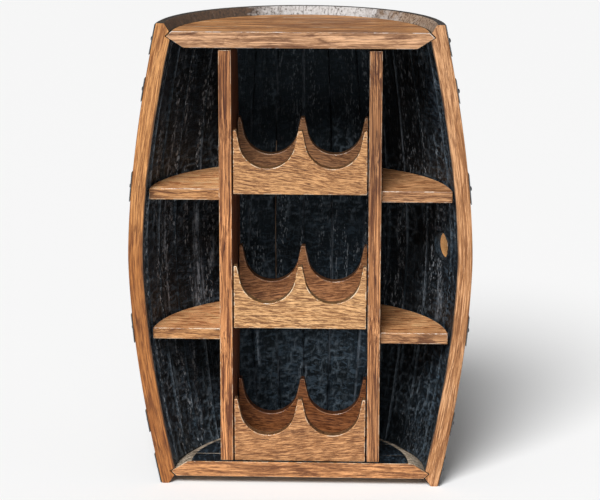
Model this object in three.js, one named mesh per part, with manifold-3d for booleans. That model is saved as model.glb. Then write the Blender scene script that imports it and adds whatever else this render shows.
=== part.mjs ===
// Half-barrel wine rack: one half of an oak whiskey barrel, sawn lengthwise and stood on its stave
// ends with the open side forward. Inside it are two upright dividers, four curved side shelves and
// three pairs of notched cradle boards for bottles.
// Millimetres, +Z up. The open side faces -Y. z = 0 is the floor, and the origin is under the middle
// of the object's box. Barrel angles are measured from the middle of the back, positive towards +X.
import * as THREE from "three";
import { mergeVertices } from "three/addons/utils/BufferGeometryUtils.js";
import Module from "manifold-3d";

const wasm = await Module();
wasm.setup();

// ---------------------------------------------------------------- driving dimensions
const GAP = 0.3; // clearance between touching pieces

const BARREL_HEIGHT = 890;
const BILGE_RADIUS = 323.6; // outside, at mid height
const END_RADIUS = 265.3; // outside, at the stave ends
const INNER_BILGE_RADIUS = 295.4;
const INNER_END_RADIUS = 232.4; // where the inner curve would meet the stave end
const BOW_POWER = 1.67; // how the bow grows towards the ends
const CHIME_RADIUS = 251.1; // inner edge of the flat stave end
const CHIME_LIP_RADIUS = 241; // foot of the chime bevel, at the mouth of the croze groove
const CHIME_DEPTH = 15.7;
const CROZE_RADIUS = 249.6; // bottom of the groove that holds the head
const CROZE_DEPTH = 24.3; // below the stave end
const CROZE_LIP_DEPTH = 30.6; // inner mouth of the groove
const STAVE_EDGES = [-90, -81, -68.5, -57, -44.5, -33.5, -22, -11.7, -0.5, 10.6, 23.5, 34, 43, 54.5, 74.5, 90];
const BUNG_STAVE = 14; // counted from 1 at the left of the open side
const BUNG_RADIUS = 24.5;

const HOOP_THICKNESS = 1.8;
const HOOPS = [ // distance from mid height, and width
  { name: "head", offset: 415, width: 57 },
  { name: "quarter", offset: 321, width: 44 },
  { name: "bilge", offset: 137, width: 56 },
];

const HEAD_OUTER_DEPTH = 14.8; // head's outer face, below the stave end
const HEAD_INNER_DEPTH = 45.1;
const HEAD_OUTER_RADIUS = 237.3; // flat part of the outer face
const HEAD_INNER_RADIUS = 216.8; // flat part of the inner face
const HEAD_TIP_RADIUS = 247.35;
const HEAD_SEAMS = { top: [66, 131, 194], bottom: [48, 117, 184] }; // distances from the sawn face

const INSERT_RECESS = 6; // dividers and front cradle boards, behind the sawn face
const BAY_HALF_WIDTH = 128;
const DIVIDER_THICKNESS = 23.8;
const DIVIDER_TOP_GAP = 4.5; // below the top head
const WALL_CLEARANCE = 1; // cut boards to the barrel's inner wall

const SHELF_THICKNESS = 22;
const SHELF_RECESS = 26;
const SHELVES = [ // top faces, from mid height
  { name: "upper_left", side: -1, top: 130 },
  { name: "upper_right", side: 1, top: 128 },
  { name: "lower_left", side: -1, top: -142 },
  { name: "lower_right", side: 1, top: -147 },
];

const CRADLE_WIDTH = 250;
const CRADLE_THICKNESS = 21.5;
const NOTCH_RADIUS = 52.5;
const NOTCH_DEPTH = 71.5;
const NOTCH_SPACING = 123.4;
const NOTCH_FLARE = THREE.MathUtils.degToRad(12);
const HEAD_INNER_FACE = BARREL_HEIGHT / 2 - HEAD_INNER_DEPTH;
const CRADLES = [ // underside from mid height, wood below the notches, front of the rear board
  { name: "upper", bottom: 124, web: 49, rear: 146 },
  { name: "middle", bottom: -135.5, web: 49, rear: 174 },
  { name: "lower", bottom: -HEAD_INNER_FACE + GAP, web: 52, rear: 142 },
];

const SCREW_HEAD_RADIUS = 4.6;
const SCREW_HEAD_HEIGHT = 2.8;
const SCREW_SHANK_RADIUS = 2;
const HOOP_SCREW_LENGTH = 16;
const HOOP_SCREW_INSET = 14; // from the sawn end of the hoop
const DIVIDER_SCREW_RADIUS = 2.5;
const DIVIDER_SCREW_BITE = 30; // into the foot of the divider
const DIVIDER_SCREW_DEPTHS = { front: 27, rear: 150 };

// ---------------------------------------------------------------- shared geometry
const rad = THREE.MathUtils.degToRad;
const HALF_HEIGHT = BARREL_HEIGHT / 2;
const UP = new THREE.Vector3(0, 1, 0);

const colours = {
  oak: { color: 0xb9793f, roughness: 0.55, metalness: 0 },
  staveOak: { color: 0x8a5a33, roughness: 0.75, metalness: 0 },
  steel: { color: 0x45474a, roughness: 0.5, metalness: 0.9 },
  screw: { color: 0x2b2c2e, roughness: 0.45, metalness: 0.9 },
};

function bow(offset, bilge, end) {
  return bilge - (bilge - end) * Math.pow(Math.abs(offset) / HALF_HEIGHT, BOW_POWER);
}
const outerRadius = (offset) => bow(offset, BILGE_RADIUS, END_RADIUS);
const innerRadius = (offset) => bow(offset, INNER_BILGE_RADIUS, INNER_END_RADIUS);

function around(radius, angle, z) {
  return new THREE.Vector3(radius * Math.sin(angle), radius * Math.cos(angle), z);
}

// Sweeps a closed (radius, z) outline, listed anticlockwise, about the barrel's axis.
function sweep(outline, startAngle, endAngle, steps) {
  const positions = [];
  for (let s = 0; s <= steps; s++) {
    const angle = startAngle + ((endAngle - startAngle) * s) / steps;
    for (const p of outline) positions.push(...around(p.x, angle, p.y).toArray());
  }
  const count = outline.length;
  const index = [];
  for (let s = 0; s < steps; s++) {
    for (let i = 0; i < count; i++) {
      const a = s * count + i;
      const b = s * count + ((i + 1) % count);
      index.push(a, b, b + count, a, b + count, a + count);
    }
  }
  for (const [a, b, c] of THREE.ShapeUtils.triangulateShape(outline, [])) {
    index.push(a, c, b);
    index.push(steps * count + a, steps * count + b, steps * count + c);
  }
  const geometry = new THREE.BufferGeometry();
  geometry.setAttribute("position", new THREE.Float32BufferAttribute(positions, 3));
  geometry.setIndex(index);
  return geometry;
}

function toSolid(geometry) {
  const bare = geometry.clone();
  bare.deleteAttribute("normal");
  bare.deleteAttribute("uv");
  const merged = mergeVertices(bare, 1e-3);
  const vertProperties = new Float32Array(merged.attributes.position.array);
  const triVerts = new Uint32Array(merged.index.array);
  return new wasm.Manifold(new wasm.Mesh({ numProp: 3, vertProperties, triVerts }));
}

function toGeometry(solid) {
  const mesh = solid.getMesh();
  const geometry = new THREE.BufferGeometry();
  geometry.setAttribute("position", new THREE.BufferAttribute(new Float32Array(mesh.vertProperties), 3));
  geometry.setIndex(new THREE.BufferAttribute(new Uint32Array(mesh.triVerts), 1));
  return geometry;
}

function cut(geometry, ...tools) {
  const solid = tools.reduce((body, tool) => body.subtract(toSolid(tool)), toSolid(geometry));
  return toGeometry(solid);
}

function box(minX, maxX, minY, maxY, minZ, maxZ) {
  const geometry = new THREE.BoxGeometry(maxX - minX, maxY - minY, maxZ - minZ);
  return geometry.translate((minX + maxX) / 2, (minY + maxY) / 2, (minZ + maxZ) / 2);
}

// A cylinder with its axis along the given direction.
function rod(centre, direction, radius, length, sides) {
  const geometry = new THREE.CylinderGeometry(radius, radius, length, sides);
  geometry.applyQuaternion(new THREE.Quaternion().setFromUnitVectors(UP, direction));
  return geometry.translate(centre.x, centre.y, centre.z);
}

const rack = new THREE.Group();
rack.position.set(0, -BILGE_RADIUS / 2, HALF_HEIGHT); // barrel axis and mid height

function add(name, geometry, colour) {
  const mesh = new THREE.Mesh(geometry, new THREE.MeshStandardMaterial(colours[colour]));
  mesh.name = name;
  rack.add(mesh);
}

// ---------------------------------------------------------------- screws
// A domed head and a plain shank. The screw's origin is under its head, and it points along +Y.
function screw(shankRadius, length) {
  const headSteps = 3;
  const profile = [new THREE.Vector2(0, -length), new THREE.Vector2(shankRadius, -length)];
  profile.push(new THREE.Vector2(shankRadius, 0));
  for (let i = 0; i <= headSteps; i++) {
    const turn = (Math.PI / 2) * (i / headSteps);
    profile.push(new THREE.Vector2(SCREW_HEAD_RADIUS * Math.cos(turn), SCREW_HEAD_HEIGHT * Math.sin(turn)));
  }
  profile[profile.length - 1].x = 0;
  return new THREE.LatheGeometry(profile, 10);
}

// Where a hoop screw enters: on the hoop's outer face, with the hoop's outward normal.
function hoopScrewPlace(hoop, level, side) {
  const offset = level * hoop.offset;
  const slope = hoopSlope(hoop, level);
  const radius = outerRadius(offset) + (GAP * 2 + HOOP_THICKNESS) * Math.hypot(1, slope);
  const angle = side * (Math.PI / 2 - HOOP_SCREW_INSET / radius);
  const normal = around(1, angle, -slope).normalize();
  return { point: around(radius, angle, offset), normal };
}

function placeScrew(geometry, place) {
  geometry.applyQuaternion(new THREE.Quaternion().setFromUnitVectors(UP, place.normal));
  return geometry.translate(place.point.x, place.point.y, place.point.z);
}

function hoopScrewBore(place) {
  const length = 2 * (HOOP_SCREW_LENGTH + GAP);
  return rod(place.point, place.normal, SCREW_SHANK_RADIUS + GAP, length, 10);
}

// ---------------------------------------------------------------- staves
function staveOutline() {
  const bowSteps = 14;
  const crozeLip = HALF_HEIGHT - CROZE_LIP_DEPTH;
  const outline = [];
  for (let i = 0; i <= bowSteps; i++) {
    const offset = -HALF_HEIGHT + (BARREL_HEIGHT * i) / bowSteps;
    outline.push(new THREE.Vector2(outerRadius(offset), offset));
  }
  const chime = [
    [CHIME_RADIUS, 0],
    [CHIME_LIP_RADIUS, CHIME_DEPTH],
    [CROZE_RADIUS, CROZE_DEPTH],
  ];
  for (const [radius, depth] of chime) outline.push(new THREE.Vector2(radius, HALF_HEIGHT - depth));
  for (let i = 0; i <= bowSteps; i++) {
    const offset = crozeLip - (2 * crozeLip * i) / bowSteps;
    outline.push(new THREE.Vector2(innerRadius(offset), offset));
  }
  for (const [radius, depth] of chime.reverse()) outline.push(new THREE.Vector2(radius, depth - HALF_HEIGHT));
  return outline;
}

function bungBore() {
  const angle = rad((STAVE_EDGES[BUNG_STAVE] + STAVE_EDGES[BUNG_STAVE - 1]) / 2);
  return rod(around(BILGE_RADIUS, angle, 0), around(1, angle, 0), BUNG_RADIUS, 120, 32);
}

function makeStaves() {
  const outline = staveOutline();
  const count = STAVE_EDGES.length - 1;
  const halfGap = GAP / 2 / INNER_END_RADIUS;
  for (let i = 1; i <= count; i++) {
    const start = rad(STAVE_EDGES[i - 1]) + (i > 1 ? halfGap : 0);
    const end = rad(STAVE_EDGES[i]) - (i < count ? halfGap : 0);
    let geometry = sweep(outline, start, end, Math.ceil((end - start) / rad(5.8)));
    if (i === BUNG_STAVE) geometry = cut(geometry, bungBore());
    if (i === 1 || i === count) geometry = cut(geometry, ...hoopBores(i === 1 ? -1 : 1));
    add(`stave_${String(i).padStart(2, "0")}`, geometry, "staveOak");
  }
}

function hoopBores(side) {
  return HOOPS.flatMap((hoop) => [1, -1].map((level) => hoopScrewBore(hoopScrewPlace(hoop, level, side))));
}

// ---------------------------------------------------------------- hoops
function hoopSlope(hoop, level) {
  const near = outerRadius(level * hoop.offset - hoop.width / 2);
  const far = outerRadius(level * hoop.offset + hoop.width / 2);
  return (far - near) / hoop.width;
}

function hoopOutline(hoop, level) {
  const middle = outerRadius(level * hoop.offset) + 2 * GAP;
  const lean = (hoopSlope(hoop, level) * hoop.width) / 2;
  const low = level * hoop.offset - hoop.width / 2;
  const high = level * hoop.offset + hoop.width / 2;
  return [
    new THREE.Vector2(middle - lean, low),
    new THREE.Vector2(middle - lean + HOOP_THICKNESS, low),
    new THREE.Vector2(middle + lean + HOOP_THICKNESS, high),
    new THREE.Vector2(middle + lean, high),
  ];
}

function makeHoops() {
  const hoopSteps = 30;
  for (const hoop of HOOPS) {
    for (const level of [1, -1]) {
      const name = `${hoop.name}_hoop_${level > 0 ? "upper" : "lower"}`;
      const places = [-1, 1].map((side) => hoopScrewPlace(hoop, level, side));
      const band = sweep(hoopOutline(hoop, level), -Math.PI / 2, Math.PI / 2, hoopSteps);
      add(name, cut(band, ...places.map(hoopScrewBore)), "steel");
      for (const [i, side] of ["left", "right"].entries()) {
        const fixing = screw(SCREW_SHANK_RADIUS, HOOP_SCREW_LENGTH);
        add(`${name}_screw_${side}`, placeScrew(fixing, places[i]), "screw");
      }
    }
  }
}

// ---------------------------------------------------------------- heads
// A half disc with a bevelled rim that seats in the croze, made of boards running left to right.
function headDisc(level) {
  const inner = level * HEAD_INNER_FACE;
  const tip = level * (HALF_HEIGHT - CROZE_DEPTH);
  const outer = level * (HALF_HEIGHT - HEAD_OUTER_DEPTH);
  const profile = [
    new THREE.Vector2(0, inner),
    new THREE.Vector2(HEAD_INNER_RADIUS, inner),
    new THREE.Vector2(HEAD_TIP_RADIUS, tip),
    new THREE.Vector2(HEAD_OUTER_RADIUS, outer),
    new THREE.Vector2(0, outer),
  ];
  if (level < 0) profile.reverse();
  return new THREE.LatheGeometry(profile, 72).rotateX(Math.PI / 2);
}

function dividerScrewPlaces() {
  const x = BAY_HALF_WIDTH + DIVIDER_THICKNESS / 2;
  const places = [];
  for (const [side, sign] of [["left", -1], ["right", 1]]) {
    for (const [end, depth] of Object.entries(DIVIDER_SCREW_DEPTHS)) {
      const point = new THREE.Vector3(sign * x, depth, HEAD_OUTER_DEPTH - HALF_HEIGHT - GAP);
      places.push({ name: `divider_screw_${side}_${end}`, point, normal: new THREE.Vector3(0, 0, -1) });
    }
  }
  return places;
}

function dividerScrewBores() {
  const length = 2 * (HEAD_INNER_DEPTH - HEAD_OUTER_DEPTH + DIVIDER_SCREW_BITE + 2 * GAP);
  const down = new THREE.Vector3(0, 0, -1);
  return dividerScrewPlaces().map((place) => rod(place.point, down, DIVIDER_SCREW_RADIUS + GAP, length, 10));
}

function makeHeads() {
  for (const [end, level] of [["top", 1], ["bottom", -1]]) {
    const disc = toSolid(headDisc(level));
    const edges = [0, ...HEAD_SEAMS[end], HEAD_TIP_RADIUS + 1];
    for (let i = 1; i < edges.length; i++) {
      const near = edges[i - 1] + (i > 1 ? GAP / 2 : 0);
      const far = edges[i] - GAP / 2;
      const strip = box(-BILGE_RADIUS, BILGE_RADIUS, near, far, -BARREL_HEIGHT, BARREL_HEIGHT);
      let board = toGeometry(disc.intersect(toSolid(strip)));
      if (end === "bottom") board = cut(board, ...dividerScrewBores());
      add(`${end}_head_board_${i}`, board, "oak");
    }
  }
}

// ---------------------------------------------------------------- dividers
// The back edge follows the bowed barrel wall, so the outline is drawn in the (y, z) plane.
function dividerGeometry(side) {
  const wallSteps = 12;
  const low = -HEAD_INNER_FACE + GAP;
  const high = HEAD_INNER_FACE - DIVIDER_TOP_GAP;
  const outerFace = BAY_HALF_WIDTH + DIVIDER_THICKNESS;
  const shape = new THREE.Shape();
  shape.moveTo(INSERT_RECESS, low);
  for (let i = 0; i <= wallSteps; i++) {
    const offset = low + ((high - low) * i) / wallSteps;
    shape.lineTo(Math.sqrt(innerRadius(offset) ** 2 - outerFace ** 2) - WALL_CLEARANCE, offset);
  }
  shape.lineTo(INSERT_RECESS, high);
  const geometry = new THREE.ExtrudeGeometry(shape, { depth: DIVIDER_THICKNESS, bevelEnabled: false });
  const toBarrel = new THREE.Matrix4().makeBasis(
    new THREE.Vector3(0, 1, 0),
    new THREE.Vector3(0, 0, 1),
    new THREE.Vector3(1, 0, 0),
  );
  geometry.applyMatrix4(toBarrel);
  return geometry.translate(side > 0 ? BAY_HALF_WIDTH : -outerFace, 0, 0);
}

function makeDividers() {
  add("divider_left", cut(dividerGeometry(-1), ...dividerScrewBores()), "oak");
  add("divider_right", cut(dividerGeometry(1), ...dividerScrewBores()), "oak");
  for (const place of dividerScrewPlaces()) {
    const length = HEAD_INNER_DEPTH - HEAD_OUTER_DEPTH + DIVIDER_SCREW_BITE;
    add(place.name, placeScrew(screw(DIVIDER_SCREW_RADIUS, length), place), "screw");
  }
}

// ---------------------------------------------------------------- side shelves
function makeShelves() {
  const start = BAY_HALF_WIDTH + DIVIDER_THICKNESS + GAP;
  for (const shelf of SHELVES) {
    const bottom = shelf.top - SHELF_THICKNESS;
    const wall = Math.min(innerRadius(shelf.top), innerRadius(bottom)) - WALL_CLEARANCE;
    const frontAngle = Math.asin(SHELF_RECESS / wall);
    const backAngle = Math.acos(start / wall);
    const shape = new THREE.Shape();
    shape.moveTo(start, SHELF_RECESS);
    shape.absarc(0, 0, wall, frontAngle, backAngle, false);
    shape.closePath();
    const options = { depth: SHELF_THICKNESS, bevelEnabled: false, curveSegments: 14 };
    const geometry = new THREE.ExtrudeGeometry(shape, options).translate(0, 0, bottom);
    if (shelf.side < 0) mirrorX(geometry);
    add(`shelf_${shelf.name}`, geometry, "oak");
  }
}

// Mirrors a geometry across the middle plane and turns its faces back outwards.
function mirrorX(geometry) {
  geometry.scale(-1, 1, 1);
  const position = geometry.attributes.position;
  for (let i = 0; i < position.count; i += 3) {
    const b = new THREE.Vector3().fromBufferAttribute(position, i + 1);
    const c = new THREE.Vector3().fromBufferAttribute(position, i + 2);
    position.setXYZ(i + 1, c.x, c.y, c.z);
    position.setXYZ(i + 2, b.x, b.y, b.z);
  }
}

// ---------------------------------------------------------------- bottle cradles
// Draws one notch, from its right lip to its left lip: a round bottom with flared sides.
function addNotch(shape, middle, lipHeight) {
  const centre = lipHeight - NOTCH_DEPTH + NOTCH_RADIUS;
  const tangentX = NOTCH_RADIUS * Math.cos(NOTCH_FLARE);
  const tangentDrop = NOTCH_RADIUS * Math.sin(NOTCH_FLARE);
  const lipX = tangentX + (lipHeight - centre + tangentDrop) * Math.tan(NOTCH_FLARE);
  shape.lineTo(middle + lipX, lipHeight);
  shape.absarc(middle, centre, NOTCH_RADIUS, -NOTCH_FLARE, Math.PI + NOTCH_FLARE, true);
  shape.lineTo(middle - lipX, lipHeight);
}

function cradleBoard(web) {
  const lipHeight = web + NOTCH_DEPTH;
  const shape = new THREE.Shape();
  shape.moveTo(-CRADLE_WIDTH / 2, 0);
  shape.lineTo(CRADLE_WIDTH / 2, 0);
  shape.lineTo(CRADLE_WIDTH / 2, lipHeight);
  addNotch(shape, NOTCH_SPACING / 2, lipHeight);
  addNotch(shape, -NOTCH_SPACING / 2, lipHeight);
  shape.lineTo(-CRADLE_WIDTH / 2, lipHeight);
  const options = { depth: CRADLE_THICKNESS, bevelEnabled: false, curveSegments: 16 };
  return new THREE.ExtrudeGeometry(shape, options).rotateX(Math.PI / 2);
}

function makeCradles() {
  for (const cradle of CRADLES) {
    for (const [place, front] of [["front", INSERT_RECESS], ["rear", cradle.rear]]) {
      const board = cradleBoard(cradle.web).translate(0, front + CRADLE_THICKNESS, cradle.bottom);
      add(`cradle_${cradle.name}_${place}`, board, "oak");
    }
  }
}

makeStaves();
makeHoops();
makeHeads();
makeDividers();
makeShelves();
makeCradles();

export default rack;
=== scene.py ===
"""Looks for the half-barrel wine rack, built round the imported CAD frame. Blender 4.5, metres.

The barrel's axis is vertical and lies in the sawn plane, at the front of the object's box.
Angles go round that axis from the middle of the back, positive towards +X.
"""
import math
from contextlib import contextmanager

import bmesh
import bpy
import numpy as np
from mathutils import Matrix, Vector


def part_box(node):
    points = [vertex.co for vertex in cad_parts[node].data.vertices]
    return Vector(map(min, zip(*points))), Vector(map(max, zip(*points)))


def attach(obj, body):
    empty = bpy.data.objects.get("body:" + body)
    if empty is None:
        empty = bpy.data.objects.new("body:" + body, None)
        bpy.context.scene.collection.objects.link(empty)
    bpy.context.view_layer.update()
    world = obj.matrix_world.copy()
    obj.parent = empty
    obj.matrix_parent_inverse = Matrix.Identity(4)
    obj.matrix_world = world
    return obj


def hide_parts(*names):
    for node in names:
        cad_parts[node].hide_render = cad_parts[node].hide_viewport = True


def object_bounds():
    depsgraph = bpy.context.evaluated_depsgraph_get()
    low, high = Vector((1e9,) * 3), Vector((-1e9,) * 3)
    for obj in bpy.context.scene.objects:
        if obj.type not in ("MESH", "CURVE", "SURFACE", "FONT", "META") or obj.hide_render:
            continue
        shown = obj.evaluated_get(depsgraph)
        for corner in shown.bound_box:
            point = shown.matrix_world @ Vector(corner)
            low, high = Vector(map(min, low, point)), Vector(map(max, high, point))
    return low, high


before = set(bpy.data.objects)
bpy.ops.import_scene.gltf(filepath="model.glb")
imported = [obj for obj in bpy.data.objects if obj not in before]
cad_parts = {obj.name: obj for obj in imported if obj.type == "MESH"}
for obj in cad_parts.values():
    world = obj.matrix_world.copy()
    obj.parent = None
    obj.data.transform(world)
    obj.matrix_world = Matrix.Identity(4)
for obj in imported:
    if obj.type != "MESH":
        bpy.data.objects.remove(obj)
cad_low, cad_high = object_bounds()

MM = 0.001

HOOPS = sorted(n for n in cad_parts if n.endswith(("hoop_upper", "hoop_lower")))

# ---------------------------------------------------------------- the barrel's measures
SAWN_Y = cad_low.y  # the sawn face, and the barrel's axis
HEIGHT = cad_high.z
HALF_HEIGHT = HEIGHT / 2
BILGE_RADIUS = cad_high.x
END_RADIUS = 265.3 * MM
INNER_BILGE_RADIUS = 295.4 * MM
INNER_END_RADIUS = 232.4 * MM
BOW_POWER = 1.67
CHIME_RADIUS = 251.1 * MM
CHIME_LIP_RADIUS = 241 * MM
CROZE_RADIUS = 249.6 * MM
CHIME_DEPTH = 15.7 * MM
CROZE_DEPTH = 24.3 * MM
CROZE_LIP_DEPTH = 30.6 * MM
BUNG_STAVE = "stave_14"
BUNG_RADIUS = 24.5 * MM
BUNG_SIDES = 64

HEAD_OUTER_RADIUS = 237.3 * MM
HEAD_INNER_RADIUS = 216.8 * MM
HEAD_TIP_RADIUS = 247.35 * MM
HEAD_SHOULDER = 9 * MM  # bare ring inside the head's bevel, where the char stops
HEAD_SHOULDER_DROP = 1 * MM
HEAD_ASH = 0.8  # how ashy the char on a head is

NOTCH_RADIUS = 52.5 * MM
NOTCH_DEPTH = 71.5 * MM
NOTCH_SPACING = 123.4 * MM
NOTCH_FLARE = math.radians(12)
HOOP_SCREW_INSET = 14 * MM


def bow(z, bilge, end):
    """A bowed wall's radius at height z above the floor."""
    return bilge - (bilge - end) * np.abs((z - HALF_HEIGHT) / HALF_HEIGHT) ** BOW_POWER


def outer_radius(z):
    return bow(z, BILGE_RADIUS, END_RADIUS)


def inner_radius(z):
    return bow(z, INNER_BILGE_RADIUS, INNER_END_RADIUS)


def wall_radius(z):
    """The stave's inside at height z, with the croze groove and the chime bevel at both ends."""
    depth = np.minimum(z, HEIGHT - z)
    lip = inner_radius(CROZE_LIP_DEPTH)
    depths = [0, CHIME_DEPTH, CROZE_DEPTH, CROZE_LIP_DEPTH]
    radii = [CHIME_RADIUS, CHIME_LIP_RADIUS, CROZE_RADIUS, lip]
    return np.where(depth < CROZE_LIP_DEPTH, np.interp(depth, depths, radii), inner_radius(z))


def around(radius, angle, z):
    return np.stack([radius * np.sin(angle), SAWN_Y + radius * np.cos(angle), z], axis=-1)


# ---------------------------------------------------------------- numeric noise for relief
def lattice(ix, iy, seed):
    """A repeatable random number from 0 to 1 for each cell of a grid."""
    h = (ix.astype(np.int64) * 374761393 + iy.astype(np.int64) * 668265263 + seed * 974634777) & 0xFFFFFFFF
    h = ((h ^ (h >> 13)) * 1274126177) & 0xFFFFFFFF
    return ((h ^ (h >> 16)) & 0xFFFFFF) / float(0xFFFFFF)


def noise(x, y, seed):
    ix, iy = np.floor(x), np.floor(y)
    fx, fy = x - ix, y - iy
    fx, fy = fx * fx * (3 - 2 * fx), fy * fy * (3 - 2 * fy)
    low = lattice(ix, iy, seed) * (1 - fx) + lattice(ix + 1, iy, seed) * fx
    high = lattice(ix, iy + 1, seed) * (1 - fx) + lattice(ix + 1, iy + 1, seed) * fx
    return low * (1 - fy) + high * fy


def fractal(x, y, seed, octaves=3):
    total, share = 0, 0.5
    for octave in range(octaves):
        total = total + share * noise(x * 2**octave, y * 2**octave, seed + octave)
        share /= 2
    return total / (1 - 2.0**-octaves)


def plate_edges(x, y, seed):
    """Distance to the nearest crack between jittered plates, in cells: 0 on a crack."""
    ix, iy = np.floor(x), np.floor(y)
    near = np.full(x.shape, 9.0)
    second = np.full(x.shape, 9.0)
    for dx in (-1, 0, 1):
        for dy in (-1, 0, 1):
            cx = ix + dx + 0.15 + 0.7 * lattice(ix + dx, iy + dy, seed)
            cy = iy + dy + 0.15 + 0.7 * lattice(ix + dx, iy + dy, seed + 7)
            d = np.hypot(cx - x, cy - y)
            second = np.minimum(np.maximum(near, d), second)
            near = np.minimum(near, d)
    return second - near


def smooth(low, high, value):
    t = np.clip((value - low) / (high - low), 0, 1)
    return t * t * (3 - 2 * t)


# Marks seen on the charred wall: degrees round from the middle of the back, then heights above the floor.
KNOTS = ((-38.3, 0.416), (-0.7, 0.147))
ASH_COLUMNS = ((-45.4, 0.25, 0.57, 0.9), (66, 0.27, 0.44, 0.3))  # the last is how pale
CRACKS = ((-63.5, 0.27, 0.62), (-20, 0.12, 0.24))


def offset_along_wall(across, degrees):
    return across - math.radians(degrees) * INNER_BILGE_RADIUS


def burnt_knots(across, along):
    """How sunk and how pale the wall is at its knots: an eye with a pale rim, and dusty fibres below."""
    hollow, pale = 0, 0
    for degrees, height in KNOTS:
        x = offset_along_wall(across, degrees) / (7 * MM)
        z = (along - height) / (14 * MM)
        distance = np.hypot(x, z)
        ring = smooth(0.55, 0.9, distance) * smooth(1.6, 1.1, distance)
        tail = smooth(1.2, 0.6, np.abs(x)) * smooth(-0.8, -1.3, z) * smooth(-3.6, -2.4, z)
        hollow = hollow + smooth(1, 0.5, distance)
        pale = pale + 0.4 * ring + 0.6 * tail
    return hollow, pale


def ash_columns(across, along):
    """Runs of pale ash down the wall, wider towards the foot."""
    pale = 0
    for degrees, low, high, strength in ASH_COLUMNS:
        half = (6 + 22 * (high - along) / (high - low)) * MM
        inside = smooth(1, 0.15, np.abs(offset_along_wall(across, degrees)) / half)
        pale = pale + strength * inside * smooth(low, low + 0.04, along) * smooth(high, high - 0.1, along)
    return pale * (0.25 + 0.75 * smooth(0.35, 0.6, fractal(across / 0.006, along / 0.02, 90)))


def cracks(across, along):
    pale = 0
    for degrees, low, high in CRACKS:
        line = smooth(3.4 * MM, 0.4 * MM, np.abs(offset_along_wall(across, degrees)))
        pale = pale + line * smooth(low, low + 0.02, along) * smooth(high, high - 0.02, along)
    return pale * smooth(0.3, 0.5, fractal(across / 0.05, along / 0.012, 95))


def char_relief(across, along):
    """The char at each point: how far it is sunk (metres), how near a plate's rim it is, and its dust."""
    fibres = fractal(across / 0.006, along / 0.13, 500) * 1.2 * MM
    hollows = fractal(across / 0.09, along / 0.2, 520) * 1.2 * MM
    warped_across = across + 0.030 * (fractal(across / 0.03, along / 0.04, 530) - 0.5)
    warped_along = along + 0.028 * (fractal(across / 0.035, along / 0.03, 540) - 0.5)
    edge = plate_edges(warped_across / 0.034, warped_along / 0.019, 550)
    heavy = smooth(0.40, 0.60, fractal(across / 0.14, along / 0.18, 560) + 0.16 * smooth(0.5, 0.1, along))
    rim = heavy * (1 - smooth(0.02, 0.22, edge))
    hollow, knot_dust = burnt_knots(across, along)
    dust = knot_dust + ash_columns(across, along) + cracks(across, along)
    return fibres + hollows + (heavy - rim) * 2.2 * MM + hollow * 3 * MM, rim, dust


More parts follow.
